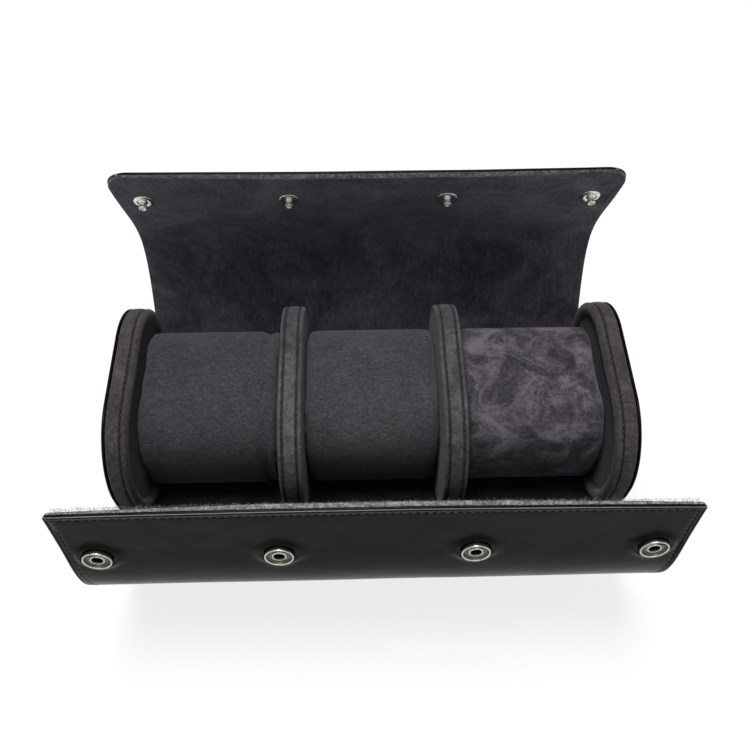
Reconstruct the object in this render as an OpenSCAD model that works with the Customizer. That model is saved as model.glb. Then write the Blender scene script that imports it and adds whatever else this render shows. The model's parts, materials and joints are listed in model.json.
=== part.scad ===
// Travel case for three wrist watches: a soft roll with one leather wrap,
// two oval ends, two dividers, three lift-out pillows and four press studs.
// X runs along the roll, Y from front to back, Z up from the resting face.
// The wrap is drawn shut around the ends, then each flap is unrolled about
// its fold lines to the open position.

/* [Body] */
// Length of the wrap between the two end seams
body_w = 260; // [220:1:320]
// Depth of the oval ends and dividers, front to back
body_d = 112; // [104:1:124]
// Height of the oval ends and dividers
body_h = 78; // [74:1:88]
// Corner radius of the oval ends and dividers
corner_r = 36; // [32:0.5:37]

/* [Wrap] */
// Thickness of the outer leather
leather_t = 1.4; // [1.0:0.1:1.8]
// Thickness of the stiffening board
board_t = 1.0; // [0.6:0.1:1.4]
// Thickness of the suede lining of the wrap
lining_t = 1.6; // [1.2:0.1:2.0]
// Gap between the shut wrap and the oval ends
fit_gap = 0.5; // [0.4:0.1:1.0]
// How much further out the fold lines lie than the wrap between them
fold_slack = 1.0; // [0.8:0.1:1.6]
// Slit left at each fold line, on the leather's outer face
fold_slit = 0.3; // [0.2:0.05:0.5]

/* [Front flap] */
// Flat stretch of the base in front of the middle of the lower corner
front_toe = 11; // [8:0.5:13]
// Angles round the corners of front folds 2 to 5, from straight down
front_turn = [54, 91, 124, 161]; // [40:1:170]
// How much further out the two upper front folds lie than the lower ones
front_ease = [0.5, 0.8]; // [0.3:0.1:1.2]
// How far the shut front flap reaches past the middle of the top
front_reach = 29.5; // [24:0.5:32]
// Angle that each front fold opens by, from the base to the free edge
front_open = [24, 11, 15, 25, 9]; // [0:1:30]
// Radius of each front segment's outer face, from the base to the free edge
front_curl = [72, 62, 82, 112, 400]; // [50:1:600]
// Corner radius of the front flap's free edge
front_corner_r = 2.5; // [1:0.5:6]

/* [Back flap] */
// Angle round the lower back corner at which the back flap leaves the ends
back_start = 14; // [12:1:20]
// Angles round the corners of back folds 2 to 4, from straight down
back_turn = [56, 104, 150]; // [40:1:160]
// How far the shut back flap reaches past the middle of the top
back_reach = 29.5; // [24:0.5:32]
// Angle that each back fold opens by, from the base to the free edge
back_open = [17, 18, 10, 22]; // [0:1:30]
// Radius of each back segment's outer face, from the base to the free edge
back_curl = [46, 62, 72, 400]; // [40:1:600]
// Corner radius of the back flap's free edge
back_corner_r = 12.5; // [6:0.5:20]
// Space between the two shut flaps, which the press studs fill
lap_gap = 3.4; // [3.2:0.1:4.4]

/* [Ends and dividers] */
// Width of the suede band round each end
end_band_w = 10; // [8:0.5:14]
// Thickness of a divider
divider_t = 12; // [9:0.5:15]
// Distance from the middle of the case to the middle of a divider
divider_x = 41; // [40:0.5:44]
// Thickness of the suede on the ends and dividers
suede_t = 1.2; // [0.8:0.1:1.6]
// Depth that the leather end panel is let into its band
end_seat = 1.0; // [0.6:0.1:1.6]
// Thickness of the leather end panel at its edge, outside the band
end_edge_t = 1.6; // [1.2:0.1:2.4]
// Rise of the padded crown of the leather end panel
end_crown = 3.0; // [1.5:0.1:4.0]

/* [Pillows] */
// Length of the middle pillow, along the case
pillow_w = 67; // [60:0.5:68]
// Gap between an outer pillow and the walls on both sides of it
pillow_side_gap = 3; // [1:0.5:5]
// Depth of a pillow, front to back
pillow_d = 80; // [74:0.5:84]
// Height of a pillow
pillow_h = 66; // [60:0.5:68]
// Corner radius of a pillow
pillow_r = 27; // [22:0.5:30]
// Distance of the pillows behind the middle of the case
pillow_y = 4; // [0:0.5:5]
// Thickness of a pillow's cover
cover_t = 1.2; // [0.8:0.1:1.6]
// Gap between a pillow and the lining under it
pillow_gap = 0.3; // [0.2:0.05:0.5]

/* [Press studs] */
// Distance from the middle of the case to the inner press studs
stud_in_x = 41; // [36:0.5:48]
// Distance from a flap's side edge to its outer press studs
stud_side = 14; // [10:0.5:30]
// Distance of the line of press studs in front of the middle of the shut case
stud_line = 3.5; // [0:0.5:6]
// Outer diameter of a socket
socket_d = 12.4; // [11:0.1:13.5]
// Height of a socket above its seat
socket_h = 2.8; // [2.4:0.1:3.0]
// Diameter of the hole in a socket
socket_hole_d = 4.7; // [4.4:0.1:5.2]
// Diameter of the seat ring under a socket, let into the leather
socket_seat_d = 10.6; // [9.6:0.1:11]
// Gap in the leather round that seat ring
socket_seat_gap = 0.4; // [0.2:0.05:0.5]
// Radius of a socket's rolled rim
socket_rim_r = 0.55; // [0.4:0.05:0.6]
// Height of the floor of a socket's dish
socket_dish_h = 1.5; // [1.2:0.1:1.8]
// Thickness of the boss round a socket's hole, at the floor of the dish
socket_boss_t = 1.1; // [0.9:0.05:1.2]
// Diameter of the spring wire in a socket
spring_d = 0.7; // [0.5:0.05:0.8]
// Radial clearance of a stud in its socket
stud_play = 0.25; // [0.2:0.05:0.4]
// Diameter of the flange of a stud
stud_flange_d = 10.2; // [9:0.1:11]
// Thickness of the flange of a stud
stud_flange_t = 0.7; // [0.5:0.1:0.9]
// Length of a stud's post below its flange
stud_post_l = 4.2; // [3.6:0.1:4.6]
// Diameter of the cap of a stud, outside the back flap
stud_cap_d = 12; // [10:0.1:13]
// Gap between a stud's flange and its socket when shut
snap_gap = 0.1; // [0.05:0.05:0.2]
// Depth that the sockets and the stud caps are let into the leather
stud_sink = 0.3; // [0.1:0.05:0.4]
// Wall of the eyelet's tube, which passes through the flap to the socket
eyelet_wall = 0.6; // [0.4:0.1:0.8]
// Diameter of the eyelet's flange, inside the flap
eyelet_d = 9; // [8:0.1:10]
// Thickness of the eyelet's flange
eyelet_t = 0.4; // [0.3:0.1:0.5]
// Radial clearance of the holes in the board and lining round that flange
eyelet_play = 0.1; // [0.05:0.05:0.3]
// Diameter of the shank that rivets a stud to its cap
stud_shank_d = 3; // [2.4:0.1:3.4]

/* [Hidden] */
$fn = 96;
leather_c = [0.07, 0.065, 0.07];
suede_c = [0.19, 0.17, 0.19];
board_c = [0.55, 0.5, 0.42];
foam_c = [0.75, 0.73, 0.68];
nickel_c = [0.72, 0.71, 0.69];
steel_c = [0.5, 0.5, 0.5];

wrap_t = leather_t + board_t + lining_t;
// Middles of the corner arcs, as a distance from the middle plane and a height
corner_y = body_d / 2 - corner_r;
low_z = wrap_t + corner_r;
high_z = wrap_t + body_h - corner_r;
mid_z = wrap_t + body_h / 2;
// Fold lines lie this far from the corner middles
fold_r = corner_r + wrap_t + fit_gap + fold_slack;
// Height of the front flap's outer face at its free edge, when shut
front_top = wrap_t + body_h + fit_gap + wrap_t;

// Both flaps are worked out on the back side and the front one is mirrored.
// A point round a lower or upper corner, by its angle from straight down.
function low(angle, r) = [corner_y + r * sin(angle), low_z - r * cos(angle)];
function high(angle, r) = [corner_y + r * sin(angle), high_z - r * cos(angle)];
// Fold lines of the shut flaps on the leather's outer face, then the free edge
front_folds = [
    [corner_y + front_toe, 0],
    low(front_turn[0], fold_r),
    low(front_turn[1], fold_r),
    high(front_turn[2], fold_r + front_ease[0]),
    high(front_turn[3], fold_r + front_ease[1]),
    [-front_reach, front_top]
];
// The back flap clears the front one, and the press studs between them
front_face = face_z(front_folds, front_curl, len(front_open) - 1, stud_line);
back_top = front_face + lap_gap + wrap_t;
back_folds = [
    low(back_start, corner_r + wrap_t),
    low(back_turn[0], fold_r),
    high(back_turn[1], fold_r + fold_slack),
    high(back_turn[2], fold_r + lap_gap + wrap_t + fold_slack),
    [-back_reach, back_top]
];

// Middle of the arc that joins two fold lines, with the bulge outwards
function chord(p, q) = norm(q - p);
function arc_middle(p, q, r) =
    let (u = (q - p) / chord(p, q), h = sqrt(r * r - pow(chord(p, q) / 2, 2)))
    (p + q) / 2 + h * [-u.y, u.x];
// Direction of the arc's tangent at one of its points
function tangent(p, middle) = atan2(p.x - middle.x, middle.y - p.y);
function sheet_middle(folds, curl, k) = arc_middle(folds[k], folds[k + 1], curl[k]);
// Tangent of the wrap just before the first fold
function before(folds, k, curl, first) =
    k == 0 ? first : tangent(folds[k], sheet_middle(folds, curl, k - 1));
function after(folds, k, curl) = tangent(folds[k], sheet_middle(folds, curl, k));
// Direction of the mitre at a fold, pointing out of the case
function mitre(folds, k, curl, first) =
    let (a = (before(folds, k, curl, first) + after(folds, k, curl)) / 2 - 90)
    [cos(a), sin(a)];

front_last = len(front_open);
back_last = len(back_open);

// Layers of the wrap, as depths under the leather's outer face
leather_in = leather_t;
board_in = leather_t + board_t;

// Heights where the shut press studs meet the flaps
function face_z(folds, curl, k, y) =
    let (m = sheet_middle(folds, curl, k))
    m.y + sqrt(pow(curl[k], 2) - pow(y - m.x, 2));
socket_z = front_face - stud_sink;
flange_z = socket_z + socket_h + snap_gap;
cap_z = face_z(back_folds, back_curl, back_last - 1, -stud_line);
cap_seat = cap_z - stud_sink;
socket_recess_d = socket_seat_d + 2 * socket_seat_gap;
socket_shank_d = socket_hole_d + 2 * eyelet_wall;
eyelet_z = socket_z - leather_t - board_t / 2;
eyelet_hole_d = eyelet_d + 2 * eyelet_play;

end_x = body_w / 2;
stud_out_x = end_x - stud_side;
stud_xs = [-stud_out_x, -stud_in_x, stud_in_x, stud_out_x];
end_inner_x = end_x - end_band_w;
// The outer pillows stand midway between a divider and an end, and fill that bay
divider_out_x = divider_x + divider_t / 2;
pillow_x = (end_inner_x + divider_out_x) / 2;
outer_pillow_w = end_inner_x - divider_out_x - 2 * pillow_side_gap;

// Extrudes a drawing of the case's cross-section along X
module along_x(x0, x1) {
    translate([x0, 0, 0]) rotate([90, 0, 90]) linear_extrude(x1 - x0) children();
}

// Rounded rectangle standing on z0, made of exact arcs
module rounded(d, h, r, z0) {
    translate([0, z0 + h / 2]) {
        square([d - 2 * r, h], center = true);
        square([d, h - 2 * r], center = true);
        for (y = [-1, 1], z = [-1, 1])
            translate([y * (d / 2 - r), z * (h / 2 - r)]) circle(r);
    }
}

// The oval of the ends and dividers, drawn smaller by an inset
module oval(inset = 0) {
    rounded(body_d - 2 * inset, body_h - 2 * inset, corner_r - inset, wrap_t + inset);
}

// Cross-section of one shut segment of a flap, between two depths
module segment(folds, curl, first, last, k, from, to) {
    a = folds[k];
    b = folds[k + 1];
    m = sheet_middle(folds, curl, k);
    along = (b - a) / chord(a, b);
    free = k == last - 1;
    start = mitre(folds, k, curl, first);
    finish = free ? [-along.y, along.x] * -1 : mitre(folds, k + 1, curl, first);
    p = a + along * fold_slit / 2;
    q = b - along * (free ? 0 : fold_slit / 2);
    reach = 3 * wrap_t;
    difference() {
        intersection() {
            translate(m) difference() {
                circle(curl[k] - from, $fn = 360);
                circle(curl[k] - to, $fn = 360);
            }
            polygon([
                p + start * reach, q + finish * reach,
                q - finish * reach, p - start * reach
            ]);
        }
        oval(-fit_gap);
    }
}

// Turns its children from the shut to the open position about folds 1 to n
module unroll(folds, open, n) {
    if (n == 0) {
        children();
    } else {
        f = folds[n - 1];
        unroll(folds, open, n - 1)
            translate([0, f.x, f.y])
                rotate([-open[n - 1], 0, 0])
                    translate([0, -f.x, -f.y])
                        children();
    }
}

// Plan of a flap's last segment, with its two free corners rounded
module flap_plan(reach, r) {
    y0 = -reach;
    length = reach + body_d;
    translate([0, 0, high_z]) linear_extrude(2 * corner_r) {
        translate([-end_x + r, y0]) square([body_w - 2 * r, length]);
        translate([-end_x, y0 + r]) square([body_w, length]);
        for (x = [-1, 1]) translate([x * (end_x - r), y0 + r]) circle(r);
    }
}

// One layer of a segment, open, on the back side
module flap_layer(folds, curl, open, first, last, k, from, to, reach, r) {
    unroll(folds, open, k + 1) {
        if (k < last - 1) {
            along_x(-end_x, end_x) segment(folds, curl, first, last, k, from, to);
        } else {
            difference() {
                intersection() {
                    along_x(-end_x, end_x) segment(folds, curl, first, last, k, from, to);
                    flap_plan(reach, r);
                }
                children();
            }
        }
    }
}

module front_layer(n, from, to) {
    mirror([0, 1, 0])
        flap_layer(front_folds, front_curl, front_open, 0, front_last, n - 1, from, to,
                   front_reach, front_corner_r)
            children();
}

module back_layer(n, from, to) {
    flap_layer(back_folds, back_curl, back_open, back_start, back_last, n - 1, from, to,
               back_reach, back_corner_r)
        children();
}

// Repeats its children at the four press studs of the shut case, at height z
module at_studs(y, z) {
    for (x = stud_xs) translate([x, y, z]) children();
}

// Upright hole through the shut flaps at each press stud
module stud_holes(y, z0, z1, d) {
    at_studs(y, z0) cylinder(h = z1 - z0, d = d);
}

module front_leather(n) {
    color(leather_c) front_layer(n, 0, leather_in) {
        stud_holes(stud_line, socket_z - 2 * wrap_t, socket_z, socket_shank_d);
        stud_holes(stud_line, socket_z, socket_z + wrap_t, socket_recess_d);
    }
}

module front_board(n) {
    color(board_c) front_layer(n, leather_in, board_in)
        stud_holes(stud_line, socket_z - 2 * wrap_t, socket_z, eyelet_hole_d);
}

module front_lining(n) {
    color(suede_c) front_layer(n, board_in, wrap_t)
        stud_holes(stud_line, eyelet_z - eyelet_t, socket_z, eyelet_hole_d);
}

module back_leather(n) {
    color(leather_c) back_layer(n, 0, leather_in) {
        stud_holes(-stud_line, flange_z, cap_z + wrap_t, stud_shank_d);
        stud_holes(-stud_line, cap_seat, cap_z + wrap_t, stud_cap_d);
    }
}

module back_board(n) {
    color(board_c) back_layer(n, leather_in, board_in)
        stud_holes(-stud_line, flange_z, cap_z, stud_shank_d);
}

module back_lining(n) {
    color(suede_c) back_layer(n, board_in, wrap_t) {
        stud_holes(-stud_line, flange_z, cap_z, stud_shank_d);
        stud_holes(-stud_line, flange_z - wrap_t, flange_z + stud_flange_t, stud_flange_d);
    }
}

// One layer of the base: flat underneath, then round the lower back corner
module base_layer(from, to) {
    front_y = -(corner_y + front_toe);
    lean = mitre(front_folds, 0, front_curl, 0);
    finish = mitre(back_folds, 0, back_curl, back_start);
    edge = back_folds[0];
    back = [cos(back_start), sin(back_start)];
    along_x(-end_x, end_x) {
        polygon([
            [front_y + fold_slit / 2 + from * lean.x, from],
            [corner_y, from],
            [corner_y, to],
            [front_y + fold_slit / 2 + to * lean.x, to]
        ]);
        intersection() {
            translate([corner_y, low_z]) difference() {
                circle(corner_r + wrap_t - from, $fn = 360);
                circle(corner_r + wrap_t - to, $fn = 360);
            }
            polygon([
                [corner_y, -wrap_t],
                edge - back * fold_slit / 2 + finish * 3 * wrap_t,
                edge - back * fold_slit / 2 - finish * 3 * wrap_t,
                [corner_y, 2 * wrap_t]
            ]);
        }
    }
}

module base_leather() {
    color(leather_c) base_layer(0, leather_in);
}

module base_board() {
    color(board_c) base_layer(leather_in, board_in);
}

module base_lining() {
    color(suede_c) base_layer(board_in, wrap_t);
}

// The right end; the left one is its mirror image
module end_band() {
    color(suede_c) along_x(end_inner_x, end_x) difference() {
        oval();
        oval(suede_t);
    }
}

module end_core() {
    color(board_c) along_x(end_inner_x + suede_t, end_x - end_seat) oval(suede_t);
}

module end_lining() {
    color(suede_c) along_x(end_inner_x, end_inner_x + suede_t) oval(suede_t);
}

// Crown of the leather end panel, a shallow part of a ball
module crown() {
    half = norm([body_d, body_h]) / 2;
    ball_r = (pow(half, 2) + pow(end_crown, 2)) / (2 * end_crown);
    translate([end_x + end_edge_t, 0, mid_z]) rotate([0, 90, 0]) rotate_extrude($fn = 360) {
        intersection() {
            translate([0, end_crown - ball_r]) circle(ball_r, $fn = 1440);
            square([half, end_crown]);
        }
    }
}

module end_leather() {
    color(leather_c) {
        along_x(end_x - end_seat, end_x) oval(suede_t);
        along_x(end_x, end_x + end_edge_t) oval();
        intersection() {
            crown();
            along_x(end_x, end_x + end_edge_t + end_crown) oval();
        }
    }
}

// The right divider; the left one is its mirror image
module divider_band() {
    color(suede_c) along_x(divider_x - divider_t / 2, divider_x + divider_t / 2) difference() {
        oval();
        oval(suede_t);
    }
}

module divider_core() {
    color(board_c)
        along_x(divider_x - divider_t / 2 + suede_t, divider_x + divider_t / 2 - suede_t)
            oval(suede_t);
}

module divider_faces() {
    color(suede_c) for (x = [divider_x - divider_t / 2, divider_x + divider_t / 2 - suede_t])
        along_x(x, x + suede_t) oval(suede_t);
}

// A pillow's form, of width w about x, drawn smaller by an inset
module pillow_block(x, w, inset) {
    translate([0, pillow_y, 0])
        along_x(x - w / 2 + inset, x + w / 2 - inset)
            rounded(pillow_d - 2 * inset, pillow_h - 2 * inset, pillow_r - inset,
                    wrap_t + pillow_gap + inset);
}

module pillow_cover(x, w) {
    color(suede_c) difference() {
        pillow_block(x, w, 0);
        pillow_block(x, w, cover_t);
    }
}

module pillow_foam(x, w) {
    color(foam_c) pillow_block(x, w, cover_t);
}

// Carries the shut press-stud halves out with the flap that holds them
module on_front_flap() {
    mirror([0, 1, 0]) unroll(front_folds, front_open, front_last) children();
}

module on_back_flap() {
    unroll(back_folds, back_open, back_last) children();
}

// Half section of a socket: seat ring, flared wall, rolled rim, dish and boss
module socket_section() {
    r = socket_d / 2;
    hole = socket_hole_d / 2;
    seat = socket_seat_d / 2;
    seat_h = 0.6;
    flare_h = 0.4;
    dish_slope = 0.6;
    boss_taper = 0.3;
    rim_z = socket_h - socket_rim_r;
    rim_in = r - 2 * socket_rim_r;
    boss_z = socket_h - 0.4;
    translate([r - socket_rim_r, rim_z]) circle(socket_rim_r, $fn = 32);
    polygon([
        [hole, 0], [seat, 0], [seat, seat_h], [r, seat_h + flare_h], [r, rim_z],
        [rim_in, rim_z], [rim_in - dish_slope, socket_dish_h],
        [hole + socket_boss_t, socket_dish_h],
        [hole + socket_boss_t - boss_taper, boss_z], [hole, boss_z]
    ]);
}

module snap_sockets() {
    color(nickel_c) on_front_flap() at_studs(stud_line, socket_z) rotate_extrude()
        socket_section();
}

// Two wire crescents that grip the post, seen in the dish of each socket
module snap_springs() {
    sweep = 100;
    boss_gap = 0.02;
    wire_r = spring_d / 2;
    color(steel_c) on_front_flap() at_studs(stud_line, socket_z + socket_dish_h + wire_r)
        for (side = [0, 180]) rotate([0, 0, side - sweep / 2])
            rotate_extrude(angle = sweep)
                translate([socket_hole_d / 2 + socket_boss_t + wire_r + boss_gap, 0])
                    circle(wire_r, $fn = 24);
}

module socket_eyelets() {
    hole = socket_hole_d / 2;
    drop = socket_z - eyelet_z;
    color(nickel_c) on_front_flap() at_studs(stud_line, eyelet_z) rotate_extrude() {
        translate([hole, 0]) square([eyelet_wall, drop]);
        translate([hole, -eyelet_t]) square([eyelet_d / 2 - hole, eyelet_t]);
    }
}

// Half section of a stud: flange, waisted hollow post and riveted shank
module stud_section() {
    post = socket_hole_d / 2 - stud_play;
    bore = 1.0;
    web = 1.0;
    tip = 0.35;
    head_h = 1.4;
    waist = post - 0.5;
    waist_z = [-1.6, -0.5];
    root = post + 0.4;
    shank = stud_shank_d / 2;
    shank_z = cap_seat - flange_z;
    polygon([
        [bore, -stud_post_l], [post - tip, -stud_post_l], [post, -stud_post_l + tip],
        [post, -stud_post_l + head_h], [waist, waist_z[0]], [waist, waist_z[1]], [root, 0],
        [stud_flange_d / 2, 0], [stud_flange_d / 2, stud_flange_t],
        [shank, stud_flange_t], [shank, shank_z], [0, shank_z], [0, -web], [bore, -web]
    ]);
}

module snap_studs() {
    color(nickel_c) on_back_flap() at_studs(-stud_line, flange_z) rotate_extrude()
        stud_section();
}

// Low domed cap of each stud, let into the leather outside the back flap
module stud_caps() {
    edge = 0.7;
    rise = 0.9;
    ball_r = (pow(stud_cap_d / 2, 2) + rise * rise) / (2 * rise);
    color(nickel_c) on_back_flap() at_studs(-stud_line, cap_seat) rotate_extrude() {
        square([stud_cap_d / 2, edge]);
        intersection() {
            translate([0, edge + rise - ball_r]) circle(ball_r, $fn = 360);
            square([stud_cap_d / 2, edge + rise]);
        }
    }
}

module left() {
    mirror([1, 0, 0]) children();
}

base_leather();
base_board();
base_lining();
left() end_leather();  // left_end_leather
left() end_band();  // left_end_band
left() end_core();  // left_end_core
left() end_lining();  // left_end_lining
end_leather();  // right_end_leather
end_band();  // right_end_band
end_core();  // right_end_core
end_lining();  // right_end_lining
left() divider_band();  // left_divider_band
left() divider_core();  // left_divider_core
left() divider_faces();  // left_divider_faces
divider_band();  // right_divider_band
divider_core();  // right_divider_core
divider_faces();  // right_divider_faces
pillow_cover(-pillow_x, outer_pillow_w);  // left_pillow_cover
pillow_foam(-pillow_x, outer_pillow_w);  // left_pillow_foam
pillow_cover(0, pillow_w);  // middle_pillow_cover
pillow_foam(0, pillow_w);  // middle_pillow_foam
pillow_cover(pillow_x, outer_pillow_w);  // right_pillow_cover
pillow_foam(pillow_x, outer_pillow_w);  // right_pillow_foam
front_leather(1);  // front_leather_1
front_leather(2);  // front_leather_2
front_leather(3);  // front_leather_3
front_leather(4);  // front_leather_4
front_leather(5);  // front_leather_5
front_board(1);  // front_board_1
front_board(2);  // front_board_2
front_board(3);  // front_board_3
front_board(4);  // front_board_4
front_board(5);  // front_board_5
front_lining(1);  // front_lining_1
front_lining(2);  // front_lining_2
front_lining(3);  // front_lining_3
front_lining(4);  // front_lining_4
front_lining(5);  // front_lining_5
back_leather(1);  // back_leather_1
back_leather(2);  // back_leather_2
back_leather(3);  // back_leather_3
back_leather(4);  // back_leather_4
back_board(1);  // back_board_1
back_board(2);  // back_board_2
back_board(3);  // back_board_3
back_board(4);  // back_board_4
back_lining(1);  // back_lining_1
back_lining(2);  // back_lining_2
back_lining(3);  // back_lining_3
back_lining(4);  // back_lining_4
snap_sockets();
snap_springs();
socket_eyelets();
snap_studs();
stud_caps();
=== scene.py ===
import json
import math

import bmesh
import bpy
import numpy as np
from mathutils import Matrix, Vector, noise


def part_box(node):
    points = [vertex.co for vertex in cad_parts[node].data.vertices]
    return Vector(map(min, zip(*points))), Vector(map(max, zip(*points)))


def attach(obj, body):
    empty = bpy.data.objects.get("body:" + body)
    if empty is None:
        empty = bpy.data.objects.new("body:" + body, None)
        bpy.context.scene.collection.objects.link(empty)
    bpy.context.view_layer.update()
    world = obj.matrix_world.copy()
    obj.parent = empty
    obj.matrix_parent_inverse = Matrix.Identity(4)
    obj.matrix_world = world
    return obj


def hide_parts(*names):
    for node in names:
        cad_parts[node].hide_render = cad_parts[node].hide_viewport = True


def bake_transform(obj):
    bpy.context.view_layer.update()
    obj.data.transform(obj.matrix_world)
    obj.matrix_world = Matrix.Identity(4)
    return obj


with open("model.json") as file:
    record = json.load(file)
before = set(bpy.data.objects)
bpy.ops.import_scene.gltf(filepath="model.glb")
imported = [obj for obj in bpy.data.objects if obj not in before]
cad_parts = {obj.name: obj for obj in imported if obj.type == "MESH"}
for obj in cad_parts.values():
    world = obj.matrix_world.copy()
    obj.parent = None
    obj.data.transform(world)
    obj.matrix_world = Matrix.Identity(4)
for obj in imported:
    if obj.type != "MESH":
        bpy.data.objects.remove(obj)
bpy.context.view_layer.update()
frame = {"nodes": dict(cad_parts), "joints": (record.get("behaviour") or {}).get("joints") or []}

# ----------------------------------------
# The view. The open case is seen from above its front edge, a little to the
# left of square, from close by. Lengths are metres throughout.
# ----------------------------------------
FRAME_PX = 750
SENSOR = 36.0
lens_px = 800.1
look_down = math.radians(58.73)
turn = math.radians(2.27)
roll = math.radians(0.94)
distance = 0.4357
target = Vector((0.0017, 0, 0.045))
centre_px = (374.2, 402.4)

forward = Vector((
    math.sin(turn) * math.cos(look_down),
    math.cos(turn) * math.cos(look_down),
    -math.sin(look_down),
))
level = Vector((math.cos(turn), -math.sin(turn), 0))
upright = level.cross(forward)
right = level * math.cos(roll) + upright * math.sin(roll)
up = upright * math.cos(roll) - level * math.sin(roll)

camera_data = bpy.data.cameras.new("camera")
camera_data.sensor_width = SENSOR
camera_data.lens = lens_px / FRAME_PX * SENSOR
camera_data.shift_x = (FRAME_PX / 2 - centre_px[0]) / FRAME_PX
camera_data.shift_y = (centre_px[1] - FRAME_PX / 2) / FRAME_PX
camera_data.clip_start = 0.01
camera_data.clip_end = 20
camera = bpy.data.objects.new("camera", camera_data)
camera.matrix_world = Matrix.Translation(target - forward * distance) @ Matrix(
    (right, up, -forward)
).transposed().to_4x4()
bpy.context.scene.collection.objects.link(camera)
bpy.context.scene.camera = camera

# ----------------------------------------
# The wrap's section. One sheet of leather runs from the edge of the front
# flap, under the case, to the edge of the back flap. Its outer face passes
# through every fold line, and bulges a little between two of them.
# ----------------------------------------
MM = 0.001
case_w = 0.260
front_tip = np.array([-0.10099, 0.13229])
back_tip = np.array([0.07404, 0.14286])
front_curl = [0.072, 0.062, 0.082, 0.112, 0.400]
back_curl = [0.046, 0.062, 0.072, 0.400]
base_flat = [-0.020, -0.008, 0.004, 0.014, 0.0205]

joint_at = {j["name"]: np.array(j["pos_m"][1:]) for j in frame["joints"] if "fold" in j["name"]}
front_folds = [joint_at[f"front_fold_{k}"] for k in range(1, 6)]
back_folds = [joint_at[f"back_fold_{k}"] for k in range(1, 5)]


def bulge(a, b, radius):
    """Middle of the arc from a to b, towards the back, on the outer side."""
    chord = b - a
    length = np.hypot(*chord)
    rise = radius - math.sqrt(radius**2 - length**2 / 4)
    return (a + b) / 2 + np.array([chord[1], -chord[0]]) / length * rise


def run_along(points):
    """How far along a row of points each one is."""
    return np.concatenate([[0], np.cumsum(np.hypot(*np.diff(points, axis=0).T))])


def on_curve(places, run, points):
    """The points of a curve at some places along it."""
    return np.stack([np.interp(places, run, points[:, i]) for i in (0, 1)], -1)


def spline(points, step):
    """Evenly spaced points of the natural cubic curve through some points, and its knots' places."""
    p = np.array(points, float)
    t = run_along(p)
    h = np.hypot(*np.diff(p, axis=0).T)
    n = len(p)
    a = np.eye(n)
    b = np.zeros((n, 2))
    for i in range(1, n - 1):
        a[i, i - 1 : i + 2] = h[i - 1], 2 * (h[i - 1] + h[i]), h[i]
        b[i] = 6 * ((p[i + 1] - p[i]) / h[i] - (p[i] - p[i - 1]) / h[i - 1])
    m = np.linalg.solve(a, b)
    fine = np.linspace(0, t[-1], int(t[-1] / step * 4) + 2)
    i = np.clip(np.searchsorted(t, fine) - 1, 0, n - 2)
    u, v, g = (t[i + 1] - fine)[:, None], (fine - t[i])[:, None], h[i][:, None]
    q = (m[i] * u**3 + m[i + 1] * v**3) / (6 * g)
    q += (p[i] / g - m[i] * g / 6) * u + (p[i + 1] / g - m[i + 1] * g / 6) * v
    run = run_along(q)
    even = np.linspace(0, run[-1], int(round(run[-1] / step)) + 1)
    return on_curve(even, run, q), even, np.interp(t, fine, run)


front_line = [front_tip, bulge(front_tip, front_folds[4], front_curl[4])]
for k in (4, 3, 2, 1):
    front_line += [front_folds[k], bulge(front_folds[k], front_folds[k - 1], front_curl[k - 1])]
front_line.append(front_folds[0])
back_line = []
for k in range(4):
    end = back_folds[k + 1] if k < 3 else back_tip
    back_line += [back_folds[k], bulge(back_folds[k], end, back_curl[k])]
back_line.append(back_tip)
base_line = [np.array([y, 0]) for y in base_flat]
section, section_s, knot_s = spline(front_line + base_line + back_line, 0.25 * MM)
section[:, 1] = np.maximum(section[:, 1], 0)
slope = np.gradient(section, section_s, axis=0)
slope /= np.hypot(*slope.T)[:, None]
outward = np.stack([slope[:, 1], -slope[:, 0]], 1)
wrap_len = section_s[-1]
front_first = len(front_line) - 1
front_fold_s = [knot_s[front_first - 2 * k] for k in range(5)]
back_first = len(front_line) + len(base_line)
back_fold_s = [knot_s[back_first + 2 * k] for k in range(4)]


def on_wrap(flat):
    """Carries points (x, distance along the wrap, depth under its outer face) onto the case."""
    flat = np.asarray(flat, float)
    s = flat[:, 1]
    across = on_curve(s, section_s, section) - flat[:, 2:] * on_curve(s, section_s, outward)
    return np.concatenate([flat[:, :1], across], 1)


# ----------------------------------------
# Leather. Black cow leather with a smooth, lightly waxed face: fine pores,
# a soft gloss that varies, and faint rubbed places. Its cut edges are dyed
# dark, and near them the wrap's colour holds a painted highlight on the bead
# and a painted lit line inside the crease.
# ----------------------------------------
def add_node(tree, kind, links=None, **values):
    """A new node of a material, with its values set and its inputs joined."""
    node = tree.nodes.new(kind)
    for name, value in values.items():
        if hasattr(node, name):
            setattr(node, name, value)
        else:
            node.inputs[name.replace("_", " ")].default_value = value
    for name, source in (links or {}).items():
        tree.links.new(source, node.inputs[name])
    return node


def new_material(name):
    material = bpy.data.materials.new(name)
    material.use_nodes = True
    tree = material.node_tree
    tree.nodes.clear()
    shader = tree.nodes.new("ShaderNodeBsdfPrincipled")
    output = tree.nodes.new("ShaderNodeOutputMaterial")
    tree.links.new(shader.outputs["BSDF"], output.inputs["Surface"])
    return material, tree, shader


def surface_points(tree, follows_surface, stretch=(1, 1, 1)):
    """Where a pattern is read: the wrap's own UV map in metres, or the piece's own coordinates."""
    source = tree.nodes.new("ShaderNodeUVMap" if follows_surface else "ShaderNodeTexCoord")
    out = source.outputs["UV" if follows_surface else "Object"]
    if follows_surface:
        source.uv_map = "pattern"
    return add_node(tree, "ShaderNodeMapping", {"Vector": out}, Scale=stretch).outputs["Vector"]


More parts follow.
